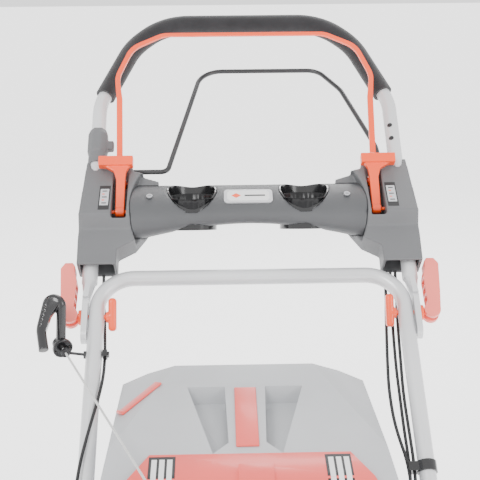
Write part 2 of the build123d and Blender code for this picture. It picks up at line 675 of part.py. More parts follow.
for name, sign in (("left_cam_lever", 1), ("right_cam_lever", -1)):
    lever = cam_lever(sign)
    lever.label = name
    export_step(lever, f"parts/{name}.step")

# ---- upper handle -------------------------------------------------------------------------
ARCH = [(UPPER_X, 420), (203, 553), (145, 608)]
ARCH_BENDS = [90, 120, 110, 110, 120, 90]


def handle_route(low_x, low):
    """Route of the upper handle in its plane, from (low_x, low) up one side and down the other."""
    half = [(low_x, low)] + ARCH
    return [hp(x, u) for x, u in half] + [hp(-x, u) for x, u in reversed(half)]


def along(x, u):
    """A plane square to the handle's length."""
    return Plane(origin=hp(x, u), x_dir=(1, 0, 0), z_dir=(0, C_UP, S_UP))


with BuildPart() as upper_handle:
    add(rod(handle_route(UPPER_X, 60), TUBE_R, ARCH_BENDS, TUBE_WALL))
    for sign in (-1, 1):
        add(strap(sign * 256, sign * 265, yz(-30, 0), yz(22, 0), 14))
        # The pressed end swells into the round tube.
        with BuildSketch(along(sign * 260.5, 30)):
            Rectangle(9, 30)
        with BuildSketch(along(sign * UPPER_X, 66)):
            Circle(TUBE_R)
        loft()
    add(barrel(BOLT_R + 0.05, -300, 300, PIVOT), mode=Mode.SUBTRACT)
save(upper_handle, "upper_handle")

with BuildPart() as handle_grip:
    start = (UPPER_X + 0.15 * (203 - UPPER_X), 420 + 0.15 * 133)
    half = [start, (203, 553), (145, 608)]
    points = [hp(x, u) for x, u in half] + [hp(-x, u) for x, u in reversed(half)]
    add(rod(points, GRIP_R, ARCH_BENDS[1:5], GRIP_R - TUBE_R - 0.05))
save(handle_grip, "handle_grip")

# ---- console ------------------------------------------------------------------------------
HOUSING = [(84, -22), (84, 22), (149, 22), (168, 40), (291, 8), (291, -22)]
OUTLINE = [(277, 84), (278, 130), (273, 291), (198, 291), (192, 268), (150, 254), (150, 180), (186, 128),
           (214, 112), (214, 84)]
BAR_END = [(172, 100), (195, 180), (180, 262)]  # a rounded end: low, middle and high
RING_AT = (525, 764)
CUP_LEAN = 12
CUP_X = 94
CUP_R = 41.3
BAIL_AT = (250, 0)
DRIVE_AT = (276, -2)
LEVER_AT = (185, 15)
LEVER_X = 212


def bar_blank(grow=0.0):
    """Moulded bar between the lever slots, thicker towards its ends."""
    a = radians(CUP_LEAN)
    with BuildPart(mode=Mode.PRIVATE) as part:
        for x, long, short, drop in ((-198, 59, 39, 35.6), (-94, 52, 25, 25), (0, 48, 21, 21.5), (94, 52, 25, 25),
                                     (198, 59, 39, 35.6)):
            centre = (x, RING_AT[0] - drop * sin(a), RING_AT[1] - drop * cos(a))
            with BuildSketch(Plane(origin=centre, x_dir=(0, cos(radians(23)), sin(radians(23))), z_dir=(1, 0, 0))):
                Ellipse(long + grow, short + grow)
        loft()
    return part.part


def bar_outline(grow=0.0):
    """Everything between the bar's two rounded ends."""
    low, middle, high = [(x + grow, u) for x, u in BAR_END]
    with BuildPart(mode=Mode.PRIVATE) as part:
        with BuildSketch(handle_plane(-120)):
            with BuildLine():
                ThreePointArc(low, middle, high)
                Line(high, (-high[0], high[1]))
                ThreePointArc((-high[0], high[1]), (-middle[0], middle[1]), (-low[0], low[1]))
                Line((-low[0], low[1]), low)
            make_face()
        extrude(amount=240)
    return part.part


def cut_box(sign, x0, x1, u0, u1, w0, w1):
    """A block in the upper handle's own directions."""
    return block(crosswise(sign * (x0 + x1) / 2, (u0 + u1) / 2, (w0 + w1) / 2), x1 - x0, u1 - u0, w1 - w0)


def housing(sign):
    """Side housing round the tube, carrying one end of the bar."""
    with BuildPart(mode=Mode.PRIVATE) as part:
        add(side_prism([yz(u, w) for u, w in HOUSING], sign * 140, sign * 290))
        with BuildSketch(handle_plane(-80)):
            with BuildLine():
                Polyline(*[(sign * x, u) for x, u in OUTLINE], close=True)
            make_face()
        extrude(amount=160, mode=Mode.INTERSECT)
    with BuildPart(mode=Mode.PRIVATE) as seat:
        add(bar_blank(0.2))
        add(cut_box(sign, 100, 200, 100, 300, 2, 90))
        add(bar_outline(0.2), mode=Mode.INTERSECT)
    return part.part - seat.part


for name, sign in (("left_housing", 1), ("right_housing", -1)):
    with BuildPart() as shell:
        add(housing(sign))
        # Lever slot, bail pocket, and a hollow round the tube's lower end.
        add(cut_box(sign, 200, 225, 163, 300, 4, 60), mode=Mode.SUBTRACT)
        add(cut_box(sign, 204, 240, 236, 300, -14, 12), mode=Mode.SUBTRACT)
        add(cut_box(sign, 219, 272, 70, 140, -18, 18), mode=Mode.SUBTRACT)
        tube_way = crosswise(sign * UPPER_X, 200) * Rot(90, 0, 0)
        add(pin(tube_way, TUBE_R + 0.1, 400), mode=Mode.SUBTRACT)
        add(barrel(3.1, sign * 188, sign * 210, yz(*BAIL_AT)), mode=Mode.SUBTRACT)
        add(barrel(4.35, sign * 190, sign * 244, yz(*DRIVE_AT)), mode=Mode.SUBTRACT)
        add(barrel(3.1, sign * 190, sign * 236, yz(*LEVER_AT)), mode=Mode.SUBTRACT)
        if sign < 0:
            # Neck clamp on the tube above the housing, with its tab.
            add(pin(crosswise(-UPPER_X, 302) * Rot(90, 0, 0), 15.4, 26))
            for low, length, lean in ((313, 38, 0), (351, 11, 18)):
                with BuildSketch(along(-UPPER_X, low)):
                    RegularPolygon(18.4, 8, rotation=22.5)
                extrude(amount=length, taper=lean)
            add(cut_box(-1, 229, 248, 320, 338, -6, 6))
            add(pin(tube_way, TUBE_R + 0.1, 600), mode=Mode.SUBTRACT)
    save(shell, name)

RING = Plane(origin=(0, *RING_AT), x_dir=(1, 0, 0),
             z_dir=(0, sin(radians(CUP_LEAN)), cos(radians(CUP_LEAN)))).location
BADGE = Plane(origin=(0, 506, 759), x_dir=(1, 0, 0), z_dir=(0, -sin(radians(27)), cos(radians(27))))
SCREW_X = (-163, 163)


def screw_place(x):
    """Seat of a pan-head screw on the bar's upper face."""
    return Plane(origin=(x, 498, 761.2), x_dir=(1, 0, 0), z_dir=(0, -0.46, 0.885)).location


with BuildPart() as console_bar:
    add(bar_blank())
    add(bar_outline(), mode=Mode.INTERSECT)
    for sign in (-1, 1):
        add(pin(RING * Pos(sign * CUP_X, 0, 0), CUP_R + 0.05, 300), mode=Mode.SUBTRACT)
    with BuildSketch(BADGE.offset(-2.1)):
        RectangleRounded(81.4, 34.4, 7.2)
    extrude(amount=30, mode=Mode.SUBTRACT)
    for x in SCREW_X:
        add(pin(screw_place(x) * Pos(0, 0, -4), 2.05, 16), mode=Mode.SUBTRACT)
save(console_bar, "console_bar")

with BuildPart() as cup_holders:
    for sign in (-1, 1):
        cup = RING * Pos(sign * CUP_X, 0, 0)
        add(pin(cup * Pos(0, 0, -14), CUP_R, 100) & (bar_blank() + block(cup * Pos(0, 0, -63), 110, 130, 60)))
        add(pin(cup * Pos(0, 0, 6), CUP_R - 2.3, 135), mode=Mode.SUBTRACT)
save(cup_holders, "cup_holders")

with BuildPart() as console_badge:
    with BuildSketch(BADGE.offset(-2)):
        RectangleRounded(81, 34, 7)
    extrude(amount=3.4)
    fillet(console_badge.edges().group_by(SortBy.LENGTH)[-1], 0.8)
save(console_badge, "console_badge")

with BuildPart() as console_screws:
    for x in SCREW_X:
        add(pin(screw_place(x) * Pos(0, 0, 1.7), 5.2, 2.6))
        add(pin(screw_place(x) * Pos(0, 0, -4), 2, 12))
        add(block(screw_place(x) * Pos(0, 0, 3), 6, 1.2, 2.4), mode=Mode.SUBTRACT)
        add(block(screw_place(x) * Pos(0, 0, 3), 1.2, 6, 2.4), mode=Mode.SUBTRACT)
save(console_screws, "console_screws")


def control_lever(sign):
    """T-shaped lever in the housing's slot."""
    with BuildPart(mode=Mode.PRIVATE) as lever:
        place = tilted(*LEVER_AT, 8).location
        add(block(place * Pos(LEVER_X, 42, 0), 15, 92, 9))
        add(block(place * Pos(LEVER_X + 9, 92, 1), 58, 17, 16))
        with BuildSketch(Plane(place).offset(-4.5)):
            with BuildLine():
                Polyline((LEVER_X - 7.5, 58), (LEVER_X + 7.5, 58), (LEVER_X + 12, 74), (LEVER_X + 32, 86),
                         (LEVER_X - 16, 86), (LEVER_X - 9, 74), close=True)
            make_face()
        extrude(amount=9)
        add(barrel(8, 204.5, 219.5, yz(*LEVER_AT)))
        add(barrel(3, 195.5, 235, yz(*LEVER_AT)))
    return lever.part if sign > 0 else mirrored(lever.part)


for name, sign in (("speed_lever", 1), ("throttle_lever", -1)):
    lever = control_lever(sign)
    lever.label = name
    export_step(lever, f"parts/{name}.step")

# ---- bails --------------------------------------------------------------------------------
BAIL_TILT = 10
DRIVE_TILT = -15
with BuildPart() as safety_bail:
    outer = [(221, 0), (225, 163), (229, 207), (203, 268), (146, 295)]
    inner = [(211, 0), (215, 163), (221, 205), (197, 262), (143, 289)]
    ring = outer + [(-x, v) for x, v in reversed(outer)] + [(-x, v) for x, v in inner] + inner[::-1]
    bail_plane = tilted(*BAIL_AT, BAIL_TILT)
    with BuildSketch(bail_plane.offset(-2.5)):
        with BuildLine():
            Polyline(*ring, close=True)
        make_face()
        fillet(vertices().filter_by(lambda v: v.Y > 180), 45)
    extrude(amount=5)
    for sign in (-1, 1):
        add(barrel(8, sign * 205, sign * 221, yz(*BAIL_AT)))
        add(barrel(3, sign * 193, sign * 210, yz(*BAIL_AT)))
save(safety_bail, "safety_bail")

with BuildPart() as drive_bail:
    place = tilted(*DRIVE_AT, DRIVE_TILT).location
    route = [(-203, 0), (-136, 0), (-78, 295), (144, 295), (183, 231), (229, 61), (231, 0), (243.5, 0)]
    points = [(place * Pos(x, v, 0)).position for x, v in route]
    add(rod(points, 4.25, [14, 48, 36, 70, 60, 6], 0))
save(drive_bail, "drive_bail")

# ---- starter ------------------------------------------------------------------------------
ROPE_DIR = (Vector(*ROPE_EYE) - Vector(*ROPE_OUT)).normalized()
EYE = Plane(origin=ROPE_EYE, z_dir=ROPE_DIR, x_dir=(1, 0, 0)).location
ROPE_R = 1.9
GUIDE_LOW = 557

FIN_OUTLINE = [(-289.7, 333, 634.5), (-308.2, 339, 642.5), (-321, 306, 597), (-319, 286, 571), (-304, 320, 616)]
FIN = Plane(origin=FIN_OUTLINE[2], x_dir=Vector(*FIN_OUTLINE[1]) - Vector(*FIN_OUTLINE[2]),
            z_dir=(Vector(*FIN_OUTLINE[1]) - Vector(*FIN_OUTLINE[2])).cross(
                Vector(*FIN_OUTLINE[4]) - Vector(*FIN_OUTLINE[2])))


def leg_place(side_sign, t):
    """A place on a leg of the lower handle, with its Z along the leg."""
    return Location((side_sign * LEG_X, *leg(t)), (degrees(atan2(LEG_UNIT[1], LEG_UNIT[0])) - 90, 0, 0))


with BuildPart() as starter_rope:
    low = Vector(*ROPE_OUT) - ROPE_DIR * 30
    add(rod([low, Vector(*ROPE_EYE) + ROPE_DIR * 8], ROPE_R, 0))
save(starter_rope, "starter_rope")

with BuildPart() as starter_grip:
    add(pin(EYE * Pos(0, 0, 4), 15.5, 6))
    add(pin(EYE * Pos(0, 0, 12), 9, 16))
    for k in range(3):
        add(pin(EYE * Pos(0, 0, 10 + 5 * k), 11, 2.4))
    loop = [(-289.7, 333, 634.5), (-308.2, 339, 642.5), (-318.2, 308, 599.5), (-311.2, 283, 575.5)]
    near = Vector(*ROPE_EYE) + ROPE_DIR * 12
    add(rod([near] + [Vector(p) for p in loop], 7.5, [10, 9, 30]))
    # The free leg is a ribbed fin that narrows to its tip.
    with BuildSketch(FIN.offset(-7)):
        with BuildLine():
            Polyline(*[tuple(FIN.to_local_coords(Vector(*p)))[:2] for p in FIN_OUTLINE], close=True)
        make_face()
    extrude(amount=14)
    for k in range(7):
        rib = Vector(*FIN_OUTLINE[1]) + (Vector(*FIN_OUTLINE[2]) - Vector(*FIN_OUTLINE[1])) * (0.08 + 0.13 * k)
        add(pin(Plane(origin=rib, z_dir=FIN.z_dir).location, 1.6, 30), mode=Mode.SUBTRACT)
    for sign in (-1, 1):
        add(pin(EYE * Pos(sign * 11, 0, 4), 1.8, 10), mode=Mode.SUBTRACT)
    add(pin(EYE * Pos(0, 0, 4), ROPE_R + 0.05, 9), mode=Mode.SUBTRACT)
save(starter_grip, "starter_grip")

with BuildPart() as rope_guide:
    eye_low = Vector(*ROPE_EYE) - ROPE_DIR * 9
    leg_side = Vector(-LEG_X - TUBE_R + 3, *leg(GUIDE_LOW))
    add(rod([leg_side, eye_low + (leg_side - eye_low).normalized() * 5], 2.2, 0))
    add(barrel(6, -LEG_X - TUBE_R - 3, -LEG_X - 8, leg(GUIDE_LOW)))
    add(pin(EYE * Pos(0, 0, -9), 7, 5))
    add(pin(EYE * Pos(0, 0, -9), ROPE_R + 1.1, 40), mode=Mode.SUBTRACT)
    add(pin(leg_place(-1, GUIDE_LOW), TUBE_R + 0.05, 40), mode=Mode.SUBTRACT)
save(rope_guide, "rope_guide")

# ---- control cables -----------------------------------------------------------------------
CABLE_D = 5.0
BAND_AT = 366
DRIVE_UPPER = [hp(237, 84, -15), hp(237, 62, -21), hp(236, 34, -23), hp(234, 12, -24)]
SPEED_UPPER = [hp(229, 84, -15), hp(229, 62, -21), hp(228, 34, -24), hp(226, 12, -26)]
BRAKE_UPPER = [hp(221.6, 84, -15), hp(220, 62, -21.5), hp(219, 34, -24), hp(217, 12, -27)]
THROTTLE_UPPER = [hp(-237, 84, -15), hp(-237, 62, -21), hp(-236, 34, -23), hp(-233, 12, -24)]

with BuildPart() as upper_cables:
    for name, route in (("drive", DRIVE_UPPER), ("speed", SPEED_UPPER), ("brake", BRAKE_UPPER),
                        ("throttle", THROTTLE_UPPER)):
        add(cord(route, CABLE_D, f"upper {name}"))
save(upper_cables, "upper_cables")


def carry_on(upper, points, last):
    """Route of a cable below the fold: straight on, then (t, x, w) points beside the leg, then last."""
    way = (upper[-1] - upper[-2]).normalized()
    beside = []
    for t, x, w in points:
        y, z = leg(t)
        beside.append((x, y - w * LEG_UNIT[1], z + w * LEG_UNIT[0]))
    return [upper[-1] + way * 0.3, upper[-1] + way * 26] + beside + last


with BuildPart() as control_cables:
    drive_leg = [(541, 228, -14), (488, 225, -10), (430, 225, -4), (366, 226, -1), (302, 222, -4), (238, 216, -7),
                 (174, 213, -3), (110, 211, 4), (54, 206, 10)]
    drive_end = [(202, -96, 204), (199, -126, 160)]
    speed_leg = [(541, 221, -20), (488, 220, -14), (430, 219, -9), (366, 220, -5), (302, 215, -10), (238, 209, -13),
                 (174, 206, -9), (110, 204, -2), (54, 198, 5)]
    speed_end = [(195.2, -98, 203), (180.5, -112, 180), (176.5, -124, 165)]
    brake_leg = [(541, 208, -19), (488, 204, -11), (430, 206, -6), (366, 218, 3), (302, 214, 6), (238, 211, 6),
                 (174, 208, 10), (110, 206, 18), (44, 203, 31)]
    brake_end = [(184, -142, 240), (158, -191, 245), (131, -241, 247), (102, -292, 250), (68.5, -351, 252)]
    throttle_leg = [(540, -225.5, -4), (486, -228.5, 12), (424, -241, 18.5), (364, -252, 18), (304, -254, 19),
                    (246, -244, 21), (190, -229, 20), (136, -219, 17), (82, -218, 18), (32, -210, 26)]
    throttle_end = [(-198, -138, 250), (-173, -190, 265), (-134, -236, 264), (-98, -275, 259), (-62, -305, 258),
                    (-27, -326.5, 262)]
    add(cord(carry_on(DRIVE_UPPER, drive_leg, drive_end), CABLE_D, "drive cable"))
    add(cord(carry_on(SPEED_UPPER, speed_leg, speed_end), CABLE_D, "speed cable"))
    add(cord(carry_on(BRAKE_UPPER, brake_leg, brake_end), CABLE_D, "brake cable"))
    add(cord(carry_on(THROTTLE_UPPER, throttle_leg, throttle_end), CABLE_D, "throttle cable"))
save(control_cables, "control_cables")

with BuildPart() as cable_clips:
    # A button clip on the right leg, and a band round the left one.
    add(block(leg_place(-1, GUIDE_LOW) * Pos(17.5, 0, 0), 12, 7, 7))
    add(block(leg_place(-1, GUIDE_LOW) * Pos(17, 0, 0), 7, 13, 11))
    add(pin(leg_place(1, BAND_AT), TUBE_R + 2.2, 16))
    add(block(leg_place(1, BAND_AT) * Pos(-19, 0, 0), 16, 16, 14))
    for sign, at in ((-1, GUIDE_LOW), (1, BAND_AT)):
        add(pin(leg_place(sign, at), TUBE_R + 0.05, 40), mode=Mode.SUBTRACT)
save(cable_clips, "cable_clips")

# ---- rear flap ----------------------------------------------------------------------------
with BuildPart() as flap_hinge_rod:
    add(barrel(3, -193, 193, FLAP_HINGE))
save(flap_hinge_rod, "flap_hinge_rod")

FLAP_IN = [FLAP_HINGE, (75, 467), (125, 479.5)]
FLAP_OUT = [(125, 482.5), (74, 470.2), (-68.5, 364.5)]
with BuildPart() as rear_flap:
    add(side_prism(FLAP_IN + FLAP_OUT, -176, 176))
    with BuildSketch(Plane.XY.offset(300)):
        with BuildLine():
            Polyline((-176, -80), (-178, 70), (-148, 123), (125, 123), (158, 62), (176, -40), (176, -80),
                     close=True)
        make_face()
    extrude(amount=300, mode=Mode.INTERSECT)
    # Raised cap in the middle of the rear edge.
    add(side_prism([(40, 440), (40, 449), (48, 456), (72, 475), (95, 481), (95, 472)], -28, 19))
    add(barrel(6, -182, -5, FLAP_HINGE))
    add(barrel(6, 5, 182, FLAP_HINGE))
    add(barrel(3.05, -200, 200, FLAP_HINGE), mode=Mode.SUBTRACT)
    add(slab(-4, 4, -76, -52, 340, 380), mode=Mode.SUBTRACT)
save(rear_flap, "rear_flap")

# ---- grass box ----------------------------------------------------------------------------
BOX_SIDE = [(-50, 190), (-50, 372), (75, 458), (120, 478), (292, 520), (330, 530), (362, 505), (400, 440),
            (455, 300), (430, 185)]
BOX_FRONT = [(-199, 170), (-199, 456), (-192, 482), (-106, 530), (106, 530), (192, 482), (199, 456),
             (199, 170)]
HOLLOW_OUTER = [(-86, 276), (-30, 276), (-26, 150), (-48, 127)]
HOLLOW_DEPTH = 28


def box_blank(inset, lift=0.0):
    """The grass box's whole outer form, drawn in by inset and moved up by lift."""
    with BuildPart(mode=Mode.PRIVATE) as part:
        with BuildSketch(side(-250)):
            with BuildLine():
                Polyline(*[(y, z + lift) for y, z in BOX_SIDE], close=True)
            make_face()
            offset(amount=-inset, kind=Kind.INTERSECTION)
        extrude(amount=500)
        with BuildSketch(Plane(origin=(BOX_X, 600, 0), x_dir=(1, 0, 0), z_dir=(0, -1, 0))):
            with BuildLine():
                Polyline(*[(x, z + lift) for x, z in BOX_FRONT], close=True)
            make_face()
            offset(amount=-inset, kind=Kind.INTERSECTION)
        extrude(amount=800, mode=Mode.INTERSECT)
    return part.part


def hollows(grow):
    """The two hand hollows beside the strap, and the way under the strap between them."""
    with BuildPart(mode=Mode.PRIVATE) as part:
        for sign in (-1, 1):
            with BuildSketch(Plane.XY.offset(380)):
                with BuildLine():
                    Polyline(*[(BOX_X + sign * x, y) for x, y in HOLLOW_OUTER], close=True)
                make_face()
                offset(amount=grow, kind=Kind.INTERSECTION)
            extrude(amount=200)
        add(box_blank(grow - 0.01, -HOLLOW_DEPTH - grow), mode=Mode.SUBTRACT)
        with BuildPart(mode=Mode.PRIVATE) as way:
            add(slab(BOX_X - 32, BOX_X + 32, 165 - grow, 262 + grow, 400, 540))
            add(box_blank(0, -9 + grow), mode=Mode.INTERSECT)
            add(box_blank(0, -HOLLOW_DEPTH - grow), mode=Mode.SUBTRACT)
        add(way.part)
    return part.part


with BuildPart() as box:
    add(box_blank(0))
    add(hollows(0), mode=Mode.SUBTRACT)
    with BuildPart(mode=Mode.PRIVATE) as room:
        add(box_blank(BOX_WALL))
        add(hollows(BOX_WALL), mode=Mode.SUBTRACT)
    add(room.part, mode=Mode.SUBTRACT)
    add(slab(TUNNEL_X[0], TUNNEL_X[1], -70, -40, 215, 350), mode=Mode.SUBTRACT)

with BuildPart() as box_upper_shell:
    add(box.part)
    add(slab(-300, 300, -100, 500, 100, BOX_SEAM + 0.15), mode=Mode.SUBTRACT)
save(box_upper_shell, "box_upper_shell")

with BuildPart() as box_lower_shell:
    add(box.part)
    add(slab(-300, 300, -100, 500, BOX_SEAM - 0.15, 600), mode=Mode.SUBTRACT)
    # Vent slots in both sides.
    for k in range(9):
        for row in range(2):
            y = 20 + 40 * k
            add(slab(-300, 300, y, y + 26, 226 + 44 * row, 240 + 44 * row), mode=Mode.SUBTRACT)
save(box_lower_shell, "box_lower_shell")

with BuildPart() as box_handle:
    add(slab(BOX_X - 16, BOX_X + 16, 140, 270, 440, 560))
    add(box_blank(0, 3), mode=Mode.INTERSECT)
    add(box_blank(0), mode=Mode.SUBTRACT)
save(box_handle, "box_handle")

FACET = Plane(origin=(BOX_X - 156, 267, 502.1), x_dir=(57, 43, 32), z_dir=(-48, 0, 86)).location
with BuildPart() as bag_indicator:
    add(block(FACET * Pos(0, 0, 2), 76, 20, 3))
    add(pin(FACET * Pos(-36, 0, 3.4) * Rot(90, 0, 0), 2.8, 20))
save(bag_indicator, "bag_indicator")
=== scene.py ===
import json
import math

import bmesh
import bpy
from mathutils import Matrix, Vector
from mathutils.bvhtree import BVHTree

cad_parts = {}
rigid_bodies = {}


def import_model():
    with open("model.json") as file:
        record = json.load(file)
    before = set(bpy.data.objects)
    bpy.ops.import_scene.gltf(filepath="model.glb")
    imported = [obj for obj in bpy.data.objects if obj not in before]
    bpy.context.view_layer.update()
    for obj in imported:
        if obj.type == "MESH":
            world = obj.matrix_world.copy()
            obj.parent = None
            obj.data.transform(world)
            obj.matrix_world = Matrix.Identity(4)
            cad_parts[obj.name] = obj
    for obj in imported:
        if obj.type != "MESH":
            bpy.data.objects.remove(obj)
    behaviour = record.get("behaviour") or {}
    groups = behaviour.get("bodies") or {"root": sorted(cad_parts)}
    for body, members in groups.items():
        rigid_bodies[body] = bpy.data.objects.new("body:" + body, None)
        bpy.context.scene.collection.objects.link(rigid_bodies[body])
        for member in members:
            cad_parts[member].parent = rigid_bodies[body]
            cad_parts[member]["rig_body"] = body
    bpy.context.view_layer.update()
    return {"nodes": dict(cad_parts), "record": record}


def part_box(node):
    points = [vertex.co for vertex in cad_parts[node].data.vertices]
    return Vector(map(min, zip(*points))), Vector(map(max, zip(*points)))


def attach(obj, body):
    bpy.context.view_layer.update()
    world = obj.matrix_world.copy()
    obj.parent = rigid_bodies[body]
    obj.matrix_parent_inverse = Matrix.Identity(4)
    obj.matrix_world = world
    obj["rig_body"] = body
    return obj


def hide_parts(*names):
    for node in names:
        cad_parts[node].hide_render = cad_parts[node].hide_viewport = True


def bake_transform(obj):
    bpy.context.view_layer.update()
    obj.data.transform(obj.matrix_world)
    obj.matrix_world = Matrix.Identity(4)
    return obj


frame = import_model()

NODES = frame["nodes"]
SCENE = bpy.context.scene

# ---- camera: where the photograph was taken from ------------------------------------------
cam_data = bpy.data.cameras.new("camera")
cam_data.lens, cam_data.sensor_width = 75, 36
cam_data.clip_start, cam_data.clip_end = 0.05, 200
camera = bpy.data.objects.new("camera", cam_data)
SCENE.collection.objects.link(camera)
pitch, yaw, roll = math.radians(14), math.radians(1.26), math.radians(0.5)
ahead = Vector((math.sin(yaw) * math.cos(pitch), math.cos(yaw) * math.cos(pitch), -math.sin(pitch)))
right = ahead.cross(Vector((0, 0, 1))).normalized()
above = right.cross(ahead)
right, above = (math.cos(roll) * right - math.sin(roll) * above,
                math.cos(roll) * above + math.sin(roll) * right)
camera.matrix_world = Matrix((
    (right.x, above.x, -ahead.x, -0.050), (right.y, above.y, -ahead.y, -1.121),
    (right.z, above.z, -ahead.z, 1.090), (0, 0, 0, 1)))
SCENE.camera = camera

# ---- the upper handle's own directions, in metres -----------------------------------------
TILT = math.radians(45.4)
PIVOT = Vector((0, 0.375, 0.595))
ALONG = Vector((0, math.cos(TILT), math.sin(TILT)))
OUT = Vector((0, -math.sin(TILT), math.cos(TILT)))


def hp(x, u, w):
    """Point x across, u along the handle from its fold axis and w in front of it, given in mm."""
    return PIVOT + Vector((x / 1000, 0, 0)) + ALONG * (u / 1000) + OUT * (w / 1000)


def mm(*p):
    return Vector(p) / 1000


# ---- materials ----------------------------------------------------------------------------
def material(name, colour, rough, metal=0.0, coat=0.0, grain=0.0, grain_size=900, vary=0.12, vary_size=9,
             wear=0.0, wear_colour=(0.5, 0.5, 0.5), specular=0.5, sheen=0.0, pits=False):
    """A moulded, painted or bare surface: fine grain, cloudy colour change, and scuffs."""
    m = bpy.data.materials.new(name)
    m.use_nodes = True
    nt = m.node_tree
    b = nt.nodes["Principled BSDF"]
    b.inputs["Metallic"].default_value = metal
    b.inputs["Specular IOR Level"].default_value = specular
    b.inputs["Coat Weight"].default_value = coat
    b.inputs["Coat Roughness"].default_value = 0.12
    b.inputs["Sheen Weight"].default_value = sheen
    link = nt.links.new
    where = nt.nodes.new("ShaderNodeTexCoord").outputs["Object"]
    cloud = nt.nodes.new("ShaderNodeTexNoise")
    cloud.inputs["Scale"].default_value = vary_size
    cloud.inputs["Detail"].default_value = 6
    link(where, cloud.inputs["Vector"])
    tone = nt.nodes.new("ShaderNodeValToRGB")
    low = [c * (1 - vary) for c in colour]
    high = [min(1, c * (1 + vary)) for c in colour]
    tone.color_ramp.elements[0].position, tone.color_ramp.elements[0].color = 0.3, (*low, 1)
    tone.color_ramp.elements[1].position, tone.color_ramp.elements[1].color = 0.7, (*high, 1)
    link(cloud.outputs["Fac"], tone.inputs["Fac"])
    colour_out = tone.outputs["Color"]
    fine = nt.nodes.new("ShaderNodeTexVoronoi" if pits else "ShaderNodeTexNoise")
    fine.inputs["Scale"].default_value = grain_size
    link(where, fine.inputs["Vector"])
    fine_out = fine.outputs["Distance"] if pits else fine.outputs["Fac"]
    if wear:
        scuff = nt.nodes.new("ShaderNodeTexNoise")
        scuff.inputs["Scale"].default_value = 38
        scuff.inputs["Detail"].default_value = 12
        scuff.inputs["Roughness"].default_value = 0.75
        link(where, scuff.inputs["Vector"])
        mask = nt.nodes.new("ShaderNodeMapRange")
        mask.inputs["From Min"].default_value, mask.inputs["From Max"].default_value = 0.62, 0.72
        mask.inputs["To Max"].default_value = wear
        link(scuff.outputs["Fac"], mask.inputs["Value"])
        mix = nt.nodes.new("ShaderNodeMix")
        mix.data_type = "RGBA"
        link(mask.outputs["Result"], mix.inputs["Factor"])
        link(colour_out, mix.inputs["A"])
        mix.inputs["B"].default_value = (*wear_colour, 1)
        colour_out = mix.outputs["Result"]
    link(colour_out, b.inputs["Base Color"])
    shine = nt.nodes.new("ShaderNodeMapRange")
    shine.inputs["To Min"].default_value = max(0.03, rough - 0.07)
    shine.inputs["To Max"].default_value = min(1, rough + 0.09)
    link(cloud.outputs["Fac"], shine.inputs["Value"])
    link(shine.outputs["Result"], b.inputs["Roughness"])
    if grain:
        bump = nt.nodes.new("ShaderNodeBump")
        bump.inputs["Strength"].default_value = grain
        bump.inputs["Distance"].default_value = 0.0004
        link(fine_out, bump.inputs["Height"])
        link(bump.outputs["Normal"], b.inputs["Normal"])
    return m


